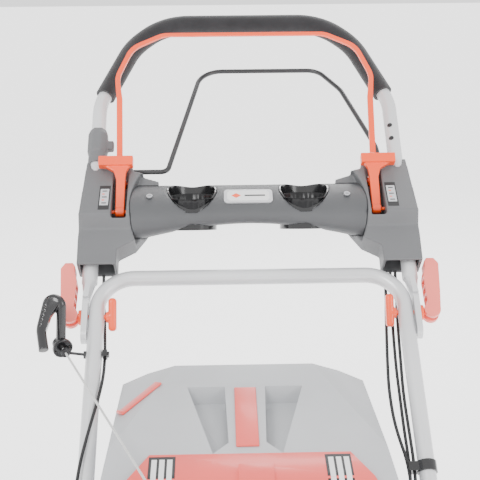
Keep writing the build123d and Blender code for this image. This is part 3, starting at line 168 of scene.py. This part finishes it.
MATERIALS = {
    "deck_paint": material("deck_paint", (0.55, 0.035, 0.02), 0.32, coat=0.5, grain=0.05, grain_size=300,
                           wear=0.25,
                           wear_colour=(0.22, 0.12, 0.08)),
    "black_paint": material("black_paint", (0.018, 0.018, 0.02), 0.36, coat=0.2, grain=0.12, grain_size=1400,
                            wear=0.2, wear_colour=(0.08, 0.08, 0.08)),
    "silver_paint": material("silver_paint", (0.66, 0.665, 0.675), 0.36, metal=0.3, coat=0.2, grain=0.1,
                             grain_size=2600, vary=0.05, wear=0.2, wear_colour=(0.5, 0.5, 0.5)),
    "zinc": material("zinc", (0.55, 0.56, 0.58), 0.34, metal=1, grain=0.08, grain_size=700, vary=0.1,
                     vary_size=60),
    "blade_steel": material("blade_steel", (0.05, 0.05, 0.055), 0.4, metal=0.3, grain=0.2, grain_size=500,
                            wear=0.6,
                            wear_colour=(0.3, 0.3, 0.3)),
    "dark_plastic": material("dark_plastic", (0.072, 0.074, 0.078), 0.46, grain=0.35, grain_size=2200,
                             vary=0.1,
                             wear=0.12, wear_colour=(0.14, 0.14, 0.14), pits=True),
    "gloss_black": material("gloss_black", (0.010, 0.010, 0.011), 0.16, coat=0.4, grain=0.03, grain_size=500),
    "orange_plastic": material("orange_plastic", (0.95, 0.085, 0.012), 0.3, coat=0.25, grain=0.06,
                               grain_size=900,
                               vary=0.05, wear=0.12, wear_colour=(0.9, 0.3, 0.2)),
    "red_plastic": material("red_plastic", (0.86, 0.105, 0.085), 0.34, coat=0.2, grain=0.12, grain_size=1500,
                            vary=0.06, wear=0.15, wear_colour=(0.85, 0.3, 0.26), pits=True),
    "grey_plastic": material("grey_plastic", (0.47, 0.48, 0.495), 0.46, grain=0.3, grain_size=1500, vary=0.05,
                             wear=0.15, wear_colour=(0.56, 0.57, 0.58), pits=True),
    "dark_grey_plastic": material("dark_grey_plastic", (0.055, 0.058, 0.062), 0.55, grain=0.35,
                                  grain_size=1500,
                                  vary=0.1, wear=0.15, wear_colour=(0.12, 0.12, 0.12), pits=True),
    "foam": material("foam", (0.022, 0.022, 0.024), 0.82, grain=0.9, grain_size=1100, vary=0.2, vary_size=40,
                     sheen=0.25, specular=0.25, pits=True),
    "tyre_rubber": material("tyre_rubber", (0.018, 0.018, 0.018), 0.75, grain=0.5, grain_size=700, vary=0.2,
                            wear=0.3, wear_colour=(0.06, 0.055, 0.05), specular=0.3),
    "rim_plastic": material("rim_plastic", (0.36, 0.37, 0.39), 0.42, grain=0.2, grain_size=1500, vary=0.06,
                            pits=True),
    "engine_alloy": material("engine_alloy", (0.42, 0.42, 0.43), 0.48, metal=0.9, grain=0.6, grain_size=600,
                             vary=0.12, vary_size=30),
    "ceramic": material("ceramic", (0.015, 0.015, 0.015), 0.25, coat=0.3, grain=0.05),
    "muffler_steel": material("muffler_steel", (0.24, 0.22, 0.20), 0.45, metal=0.9, grain=0.3, grain_size=300,
                              vary=0.3, vary_size=25),
    "tank_plastic": material("tank_plastic", (0.025, 0.025, 0.028), 0.42, grain=0.2, grain_size=900,
                             pits=True),
    "belt_rubber": material("belt_rubber", (0.02, 0.02, 0.02), 0.7, grain=0.5, grain_size=500),
    "cable_sleeve": material("cable_sleeve", (0.012, 0.012, 0.013), 0.38, grain=0.1, grain_size=800),
    "badge_silver": material("badge_silver", (0.62, 0.62, 0.64), 0.3, metal=0.4, coat=0.3, grain=0.1,
                             grain_size=2500, vary=0.03),
    "white_print": material("white_print", (0.78, 0.78, 0.77), 0.5, grain=0.05, vary=0.03),
    "black_print": material("black_print", (0.014, 0.014, 0.015), 0.4, grain=0.05, vary=0.1),
    "label_silver": material("label_silver", (0.55, 0.56, 0.58), 0.34, metal=0.3, grain=0.06, vary=0.04),
    "housing_plastic": material("housing_plastic", (0.125, 0.127, 0.132), 0.5, grain=0.4, grain_size=2000,
                                vary=0.06,
                                wear=0.1, wear_colour=(0.2, 0.2, 0.2), pits=True),
    "cup_black": material("cup_black", (0.004, 0.004, 0.005), 0.26, specular=0.35, grain=0.03,
                          grain_size=500),
    "pale_red": material("pale_red", (0.92, 0.19, 0.15), 0.36, coat=0.2, grain=0.1, grain_size=1500,
                         vary=0.06,
                         wear=0.12, wear_colour=(0.9, 0.4, 0.35), pits=True),
}


def rope_material():
    """Braided cord: slanted strands from two crossing waves."""
    m = material("rope", (0.66, 0.66, 0.65), 0.7, vary=0.1, vary_size=300, sheen=0.3, specular=0.2)
    nt = m.node_tree
    where = nt.nodes.new("ShaderNodeTexCoord").outputs["Object"]
    heights = []
    for direction in ("X", "Z"):
        wave = nt.nodes.new("ShaderNodeTexWave")
        wave.wave_type = "BANDS"
        wave.bands_direction = "DIAGONAL" if direction == "X" else "Z"
        wave.inputs["Scale"].default_value = 260
        nt.links.new(where, wave.inputs["Vector"])
        heights.append(wave.outputs["Fac"])
    both = nt.nodes.new("ShaderNodeMath")
    both.operation = "MAXIMUM"
    nt.links.new(heights[0], both.inputs[0])
    nt.links.new(heights[1], both.inputs[1])
    bump = nt.nodes.new("ShaderNodeBump")
    bump.inputs["Strength"].default_value = 0.8
    bump.inputs["Distance"].default_value = 0.0005
    nt.links.new(both.outputs[0], bump.inputs["Height"])
    nt.links.new(bump.outputs["Normal"], nt.nodes["Principled BSDF"].inputs["Normal"])
    return m


MATERIALS["rope"] = rope_material()
SLOT = {s["node"]: s["material_slot"] for s in frame["record"]["subparts"]}


def smooth(mesh, angle=32):
    for p in mesh.polygons:
        p.use_smooth = True
    mesh.set_sharp_from_angle(angle=math.radians(angle))


# ---- pieces carried over from the CAD -----------------------------------------------------
FINISH = dict(SLOT, left_cam_lever="pale_red", right_cam_lever="pale_red", left_housing="housing_plastic",
              right_housing="housing_plastic")
for node, obj in NODES.items():
    obj.data.materials.clear()
    obj.data.materials.append(MATERIALS[FINISH[node]])


def piece(name, mesh, body, slot, node=None):
    """A new piece on a body, in a record slot's finish, standing for a CAD node if one is named."""
    obj = bpy.data.objects.new(name, mesh)
    SCENE.collection.objects.link(obj)
    mesh.materials.clear()
    mesh.materials.append(MATERIALS[slot])
    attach(obj, body)
    if node:
        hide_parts(*([node] if isinstance(node, str) else node))
    return obj


def body_of(node):
    return NODES[node]["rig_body"]


def clean_copy(node, angle=0.6):
    """The CAD node's mesh with its flat faces put back together."""
    bm = bmesh.new()
    bm.from_mesh(NODES[node].data)
    bmesh.ops.remove_doubles(bm, verts=bm.verts, dist=2e-6)
    bmesh.ops.dissolve_limit(bm, angle_limit=math.radians(angle), verts=bm.verts, edges=bm.edges)
    mesh = bpy.data.meshes.new(node + "_soft")
    bm.to_mesh(mesh)
    bm.free()
    return mesh


def apply_modifiers(obj):
    dg = bpy.context.evaluated_depsgraph_get()
    mesh = bpy.data.meshes.new_from_object(obj.evaluated_get(dg))
    obj.modifiers.clear()
    obj.data = mesh


def soften(node, width=1.2, segments=3, angle=28):
    """Rounds a moulded or pressed node's hard edges, inside its own size."""
    obj = piece(node + "_moulded", clean_copy(node), body_of(node), FINISH[node], node)
    bevel = obj.modifiers.new("bevel", "BEVEL")
    bevel.width, bevel.segments = width / 1000, segments
    bevel.limit_method, bevel.angle_limit = "ANGLE", math.radians(angle)
    bevel.use_clamp_overlap = True
    apply_modifiers(obj)
    smooth(obj.data, 40)
    return obj


def melt(node, voxel=1.5, rounds=4, keep=1.0):
    """Remeshes a moulded node so that every edge and inner corner is a little round."""
    mesh = NODES[node].data.copy()
    obj = piece(node + "_moulded", mesh, body_of(node), FINISH[node], node)
    remesh = obj.modifiers.new("remesh", "REMESH")
    remesh.mode, remesh.voxel_size, remesh.use_smooth_shade = "VOXEL", voxel / 1000, True
    soft = obj.modifiers.new("smooth", "SMOOTH")
    soft.factor, soft.iterations = 0.5, rounds
    if keep < 1:
        less = obj.modifiers.new("decimate", "DECIMATE")
        less.ratio = keep
    apply_modifiers(obj)
    smooth(obj.data, 60)
    return obj


for node in ("left_housing", "right_housing"):
    melt(node, 1.6, 6, 0.35)
melt("console_bar", 1.8, 5, 0.35)
for node in ("speed_lever", "throttle_lever", "left_cam_lever", "right_cam_lever", "starter_grip",
             "clamp_bolts"):
    melt(node, 0.9, 4, 0.4)
for node in ("fuel_cap", "height_knob", "dipstick", "spark_plug"):
    melt(node, 1.0, 4, 0.4)
for node, width in (("box_upper_shell", 1.4), ("box_lower_shell", 1.2), ("rear_flap", 0.9), ("box_handle",
                    1.2),
                    ("front_bumper", 2.5), ("bag_indicator", 1.0), ("safety_bail", 1.6), ("gearbox", 2.0),
                    ("engine_block", 0.8), ("console_badge", 1.0), ("recoil_cover", 0.8)):
    soften(node, width)


# ---- cables and the starter rope ----------------------------------------------------------
def route(name, points):
    """A smooth line with the points as its control points."""
    curve = bpy.data.curves.new(name, "CURVE")
    curve.dimensions, curve.resolution_u = "3D", 10
    spline = curve.splines.new("NURBS")
    spline.points.add(len(points) - 1)
    for point, at in zip(spline.points, points):
        point.co = (*at, 1)
    spline.order_u = 3
    spline.use_endpoint_u = True
    return curve


def curve_mesh(name, curve):
    obj = bpy.data.objects.new(name, curve)
    SCENE.collection.objects.link(obj)
    mesh = bpy.data.meshes.new_from_object(obj.evaluated_get(bpy.context.evaluated_depsgraph_get()))
    bpy.data.objects.remove(obj)
    return mesh


def loose_piece(name, mesh, slot, nodes):
    """A piece that runs between two bodies and is parented to neither."""
    obj = bpy.data.objects.new(name, mesh)
    SCENE.collection.objects.link(obj)
    mesh.materials.clear()
    mesh.materials.append(MATERIALS[slot])
    for p in mesh.polygons:
        p.use_smooth = True
    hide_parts(*nodes)
    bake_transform(obj)
    return obj


LEG_FOOT = Vector((0, -0.095, 0.186))
LEG_WAY = Vector((0, 0.75436, 0.65646))
LEG_OUT = Vector((0, -0.65646, 0.75436))


def beside_leg(t, x, w):
    """Point t along the lower leg, x across and w in front of it, given in mm."""
    return LEG_FOOT + Vector((x / 1000, 0, 0)) + LEG_WAY * (t / 1000) + LEG_OUT * (w / 1000)


CABLES = {
    "drive": ([(237, 84, -15), (237, 62, -21), (236, 34, -23), (234, 12, -24)],
              [(541, 228, -14), (488, 225, -10), (430, 225, -4), (366, 226, -1), (302, 222, -4), (238, 216,
               -7),
               (174, 213, -3), (110, 211, 4), (54, 206, 10)],
              [(202, -96, 204), (199, -126, 160)]),
    "speed": ([(229, 84, -15), (229, 62, -21), (228, 34, -24), (226, 12, -26)],
              [(541, 221, -20), (488, 220, -14), (430, 219, -9), (366, 220, -5), (302, 215, -10), (238,
               209, -13),
               (174, 206, -9), (110, 204, -2), (54, 198, 5)],
              [(195.2, -98, 203), (180.5, -112, 180), (176.5, -124, 165)]),
    "brake": ([(221.6, 84, -15), (220, 62, -21.5), (219, 34, -24), (217, 12, -27)],
              [(541, 208, -19), (488, 204, -11), (430, 206, -6), (366, 218, 3), (302, 214, 6), (238, 211, 6),
               (174, 208, 10), (110, 206, 18), (44, 203, 31)],
              [(184, -142, 240), (158, -191, 245), (131, -241, 247), (102, -292, 250), (68.5, -351, 252)]),
    "throttle": ([(-237, 84, -15), (-237, 62, -21), (-236, 34, -23), (-233, 12, -24)],
                 [(540, -225.5, -4), (486, -228.5, 12), (424, -241, 18.5), (364, -252, 18), (304, -254, 19),
                  (246, -244, 21), (190, -229, 20), (136, -219, 17), (82, -218, 18), (32, -210, 26)],
                 [(-198, -138, 250), (-173, -190, 265), (-134, -236, 264), (-98, -275, 259), (-62, -305, 258),
                  (-27, -326.5, 262)]),
}
for name, (upper, leg_points, last) in CABLES.items():
    line = [hp(*p) for p in upper] + [beside_leg(*p) for p in leg_points] + [mm(*p) for p in last]
    curve = route(name + "_cable", line)
    curve.bevel_depth, curve.bevel_resolution, curve.use_fill_caps = 0.0025, 3, True
    loose_piece(name + "_cable", curve_mesh(name, curve), "cable_sleeve",
                ("upper_cables", "control_cables"))

ROPE_OUT, ROPE_EYE = mm(48, -330, 370), mm(-286.8, 312, 566)
ROPE_WAY = (ROPE_EYE - ROPE_OUT).normalized()


def rope_mesh():
    """Three strands laid round the taut line between the recoil cover and the grip."""
    across = ROPE_WAY.orthogonal().normalized()
    other = ROPE_WAY.cross(across)
    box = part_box("starter_rope")
    start = ROPE_OUT - ROPE_WAY * ((ROPE_OUT.y - box[0][1] - 0.002) / ROPE_WAY.y)
    length = (box[1][1] - 0.002 - start.y) / ROPE_WAY.y
    bm = bmesh.new()
    turns, sides, lay, offset, radius = 14, 6, 0.011, 0.00088, 0.00102
    steps = int(length / lay * turns)
    for strand in range(3):
        rings = []
        for i in range(steps + 1):
            d = length * i / steps
            a = 2 * math.pi * (d / lay + strand / 3)
            centre = start + ROPE_WAY * d + across * (offset * math.cos(a)) + other * (offset * math.sin(a))
            rings.append([bm.verts.new(centre + across * (radius * math.cos(2 * math.pi * k / sides))
                                       + other * (radius * math.sin(2 * math.pi * k / sides)))
                          for k in range(sides)])
        for r0, r1 in zip(rings, rings[1:]):
            for k in range(sides):
                bm.faces.new((r0[k], r0[(k + 1) % sides], r1[(k + 1) % sides], r1[k]))
        bm.faces.new(rings[0][::-1])
        bm.faces.new(rings[-1])
    bmesh.ops.recalc_face_normals(bm, faces=bm.faces)
    mesh = bpy.data.meshes.new("starter_rope_laid")
    bm.to_mesh(mesh)
    bm.free()
    return mesh


loose_piece("starter_rope_laid", rope_mesh(), "rope",
            ("starter_rope",))

# ---- plates, labels and small marks laid on a surface -------------------------------------
TREES = {}


def surface(node):
    if node not in TREES:
        bm = bmesh.new()
        bm.from_mesh(NODES[node].data)
        TREES[node] = BVHTree.FromBMesh(bm)
        bm.free()
    return TREES[node]


def laid(name, node, slot, origin, right, up, way, outline, lift=0.35, step=4.0):
    """A thin printed plate on a node's surface: an outline in mm on right and up, dropped along way."""
    bm = bmesh.new()
    xs, ys = [p[0] for p in outline], [p[1] for p in outline]
    corners = [bm.verts.new((x, y, 0)) for x, y in outline]
    bm.faces.new(corners)
    for low, high, axis in ((min(xs), max(xs), 0), (min(ys), max(ys), 1)):
        count = int((high - low) / step)
        for k in range(1, count + 1):
            at = low + (high - low) * k / (count + 1)
            normal = (1, 0, 0) if axis == 0 else (0, 1, 0)
            point = (at, 0, 0) if axis == 0 else (0, at, 0)
            bmesh.ops.bisect_plane(bm, geom=bm.verts[:] + bm.edges[:] + bm.faces[:], plane_co=point,
                                   plane_no=normal)
    tree = surface(node)
    lost = []
    for v in bm.verts:
        start = origin + right * (v.co.x / 1000) + up * (v.co.y / 1000) - way * 0.15
        hit, normal, _, _ = tree.ray_cast(start, way)
        if hit is None:
            lost.append(v)
        else:
            v.co = hit - way * (lift / 1000)
    bmesh.ops.delete(bm, geom=lost, context="VERTS")
    bmesh.ops.recalc_face_normals(bm, faces=bm.faces)
    mesh = bpy.data.meshes.new(name)
    bm.to_mesh(mesh)
    bm.free()
    obj = piece(name, mesh, body_of(node), slot)
    if mesh.polygons and sum((p.normal.dot(way) * p.area for p in mesh.polygons)) > 0:
        mesh.flip_normals()
    thick = obj.modifiers.new("thickness", "SOLIDIFY")
    thick.thickness, thick.offset = 0.0005, -1
    apply_modifiers(obj)
    smooth(obj.data, 40)
    return obj


DOWN, X, Y = Vector((0, 0, -1)), Vector((1, 0, 0)), Vector((0, 1, 0))
ABOVE = Vector((0, 0, 0.6))


def rectangle(x0, x1, y0, y1):
    return [(x0, y0), (x1, y0), (x1, y1), (x0, y1)]


# Flap: two dark decals, each with three pale strokes.
for side_name, x0, x1 in (("left", 89, 124), ("right", -148, -112)):
    laid(f"flap_decal_{side_name}", "rear_flap", "black_print", ABOVE, X, Y, DOWN,
         rectangle(x0, x1, 30, 118), 0.3, 6)
    for k in range(3):
        left = x0 + 4 + 10.5 * k
        laid(f"flap_stroke_{side_name}_{k}", "rear_flap", "white_print", ABOVE, X, Y, DOWN,
             rectangle(left, left + 7, 36 + 8 * k, 112), 0.7, 6)

# Labels beside the lever slots: a silver plate with ticks, and no writing.
HANDLE = {"origin": PIVOT, "right": X, "up": ALONG, "way": -OUT}
for housing, sign in (("left_housing", 1), ("right_housing", -1)):
    inner, outer = (228, 246) if sign > 0 else (-246, -228)
    laid(f"{housing}_label", housing, "black_print", **HANDLE,
         outline=rectangle(inner, outer, 176, 232), lift=0.25)
    laid(f"{housing}_label_plate", housing, "label_silver", **HANDLE,
         outline=rectangle(inner + 2, outer - 2, 186, 224), lift=0.5)
    for k in range(5):
        u = 190 + 7 * k
        laid(f"{housing}_tick_{k}", housing, "orange_plastic" if k in (1, 3) else "black_print", **HANDLE,
             outline=rectangle(inner + 5, inner + 13 - (k % 2) * 4, u, u + 2), lift=0.75)

# Rivets on the left tube.
for k, u in enumerate((332, 360)):
    disc = [(252 + 4.2 * math.cos(a * math.pi / 8), u + 4.2 * math.sin(a * math.pi / 8)) for a in range(16)]
    laid(f"tube_rivet_{k}", "upper_handle", "black_print", **HANDLE, outline=disc, lift=0.8, step=3)

# Badge: a blank field, a lozenge and a line.
BADGE_LEAN = math.radians(27)
badge_up = Vector((0, math.cos(BADGE_LEAN), math.sin(BADGE_LEAN)))
badge_way = Vector((0, math.sin(BADGE_LEAN), -math.cos(BADGE_LEAN)))
laid("badge_field", "console_badge", "white_print", mm(0, 506, 759), X, badge_up, badge_way,
     [(-35, -8), (-31, -13), (31, -13), (35, -8), (35, 8), (31, 13), (-31, 13), (-35, 8)], 0.3)
laid("badge_mark", "console_badge", "orange_plastic", mm(0, 506, 759), X, badge_up, badge_way,
     [(-28, 0), (-20, -6), (-12, 0), (-20, 6)], 0.6)
laid("badge_line", "console_badge", "black_print", mm(0, 506, 759), X, badge_up, badge_way,
     rectangle(-6, 28, -1.6, 1.6), 0.6)


# ---- cup liners ---------------------------------------------------------------------------
CUP_LEAN = math.radians(12)
CUP_UP = Vector((0, math.sin(CUP_LEAN), math.cos(CUP_LEAN)))
CUP_BACK = Vector((0, math.cos(CUP_LEAN), -math.sin(CUP_LEAN)))


def cup_liner(name, x):
    """Fluted cup wall, its rolled lip lower in front, and a dished floor."""
    bm = bmesh.new()
    steps, flutes, depth, floor_z, top = 176, 22, 1.3, -60.5, -9
    profile = [(0.4, floor_z + 1.5), (18, floor_z + 1.2), (33, floor_z + 0.6), (36.6, floor_z + 3),
               (38.2, floor_z + 8), (38.6, -40), (38.6, -20), (38.6, top), (39.4, top + 1.1),
               (40.6, top + 1.1), (41.1, top)]
    rings = []
    for i in range(steps):
        a = 2 * math.pi * i / steps
        ring = []
        for radius, z in profile:
            fluted = 36 < radius < 38.7 and z < top
            d = (radius - (depth * (0.5 + 0.5 * math.cos(flutes * a)) if fluted else 0)) / 1000
            z += 5.5 * math.sin(a) if z >= top else 0
            ring.append(bm.verts.new(mm(x, 525, 764) + CUP_UP * (z / 1000) + X * (d * math.cos(a))
                                     + CUP_BACK * (d * math.sin(a))))
        rings.append(ring)
    for i in range(steps):
        r0, r1 = rings[i], rings[(i + 1) % steps]
        for k in range(len(profile) - 1):
            bm.faces.new((r0[k], r1[k], r1[k + 1], r0[k + 1]))
    bm.faces.new([ring[0] for ring in rings])
    bmesh.ops.recalc_face_normals(bm, faces=bm.faces)
    mesh = bpy.data.meshes.new(name)
    bm.to_mesh(mesh)
    bm.free()
    obj = piece(name, mesh, "upper_handle", "cup_black")
    thick = obj.modifiers.new("thickness", "SOLIDIFY")
    thick.thickness, thick.offset = 0.0006, 0
    apply_modifiers(obj)
    smooth(obj.data, 50)


cup_liner("cup_liner_left", 94)
cup_liner("cup_liner_right", -94)

# ---- tyres ------------------------------------------------------------------------------
def tyre(node):
    """Carcass with rounded shoulders and two rows of slanted tread blocks."""
    low, high = (Vector(c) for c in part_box(node))
    centre, radius, half = (low + high) / 2, (high.z - low.z) / 2, (high.x - low.x) / 2
    rim = radius * (0.70 if radius < 0.12 else 0.745)
    bm = bmesh.new()
    depth = 0.0028
    profile = [(-0.62, rim), (-0.82, rim + 0.004), (-0.97, rim + 0.35 * (radius - rim)),
               (-1.0, rim + 0.55 * (radius - rim)), (-0.93, rim + 0.78 * (radius - rim)),
               (-0.74, radius - depth - 0.0022), (-0.4, radius - depth - 0.0005), (0, radius - depth)]
    profile += [(-x, r) for x, r in profile[-2::-1]]
    steps = 72
    rings = []
    for i in range(steps):
        a = 2 * math.pi * i / steps
        rings.append([bm.verts.new(centre + Vector((x * half, r * math.cos(a), r * math.sin(a))))
                      for x, r in profile])
    for i in range(steps):
        r0, r1 = rings[i], rings[(i + 1) % steps]
        for k in range(len(profile)):
            n = (k + 1) % len(profile)
            bm.faces.new((r0[k], r0[n], r1[n], r1[k]))
    blocks = 36 if radius < 0.12 else 48
    for i in range(blocks):
        for sign in (-1, 1):
            a0 = 2 * math.pi * (i + (0.25 if sign > 0 else -0.25)) / blocks
            width = 2 * math.pi / blocks * 0.29
            corners = []
            for x, shift in ((sign * 0.06, 0.25), (sign * 0.82, -0.25)):
                top = radius if abs(x) < 0.5 else radius - 0.0026
                for edge in (-1, 1):
                    for r in (radius - 0.008, top):
                        a = a0 + width * (edge + 2 * shift)
                        corners.append(bm.verts.new((centre.x + x * half, centre.y + r * math.cos(a),
                                                     centre.z + r * math.sin(a))))
            p = corners
            for f in ((0, 1, 3, 2), (4, 6, 7, 5), (0, 4, 5, 1), (2, 3, 7, 6), (1, 5, 7, 3), (0, 2, 6, 4)):
                bm.faces.new([p[k] for k in f])
    bmesh.ops.recalc_face_normals(bm, faces=bm.faces)
    mesh = bpy.data.meshes.new(node + "_tread")
    bm.to_mesh(mesh)
    bm.free()
    obj = piece(node + "_tread", mesh, body_of(node), "tyre_rubber", node)
    smooth(obj.data, 30)


for node in NODES:
    if node.endswith("_tyre"):
        tyre(node)


# The nodes that stay as they are get smooth shading across their curves.
for node, obj in NODES.items():
    if not obj.hide_render:
        smooth(obj.data, 32)

# ---- floor and light ----------------------------------------------------------------------
bpy.ops.mesh.primitive_plane_add(size=160)
floor = bpy.context.object
floor.name = "floor"
floor_mat = material("floor_paper", (0.97, 0.97, 0.97), 0.85, vary=0.01, grain=0.05, grain_size=60)
paper = floor_mat.node_tree.nodes["Principled BSDF"]
paper.inputs["Emission Color"].default_value = (1, 1, 1, 1)
paper.inputs["Emission Strength"].default_value = 1.1
floor.data.materials.append(floor_mat)

world = bpy.data.worlds.new("studio")
world.use_nodes = True
world.node_tree.nodes["Background"].inputs["Color"].default_value = (1, 1, 1, 1)
world.node_tree.nodes["Background"].inputs["Strength"].default_value = 1.6
SCENE.world = world


def area(name, at, aim, size, power, colour=(1, 1, 1)):
    data = bpy.data.lights.new(name, "AREA")
    data.shape, data.size, data.energy, data.color = "DISK", size, power, colour
    obj = bpy.data.objects.new(name, data)
    SCENE.collection.objects.link(obj)
    obj.location = at
    obj.rotation_euler = (Vector(aim) - Vector(at)).to_track_quat("-Z", "Y").to_euler()


area("key", (-1.6, -2.2, 3.0), (0, 0.3, 0.6), 1.4, 75)
area("fill", (2.4, -1.6, 2.0), (0, 0.3, 0.6), 1.8, 35)
area("back", (0.4, 2.8, 2.6), (0, 0.3, 0.7), 1.6, 60)
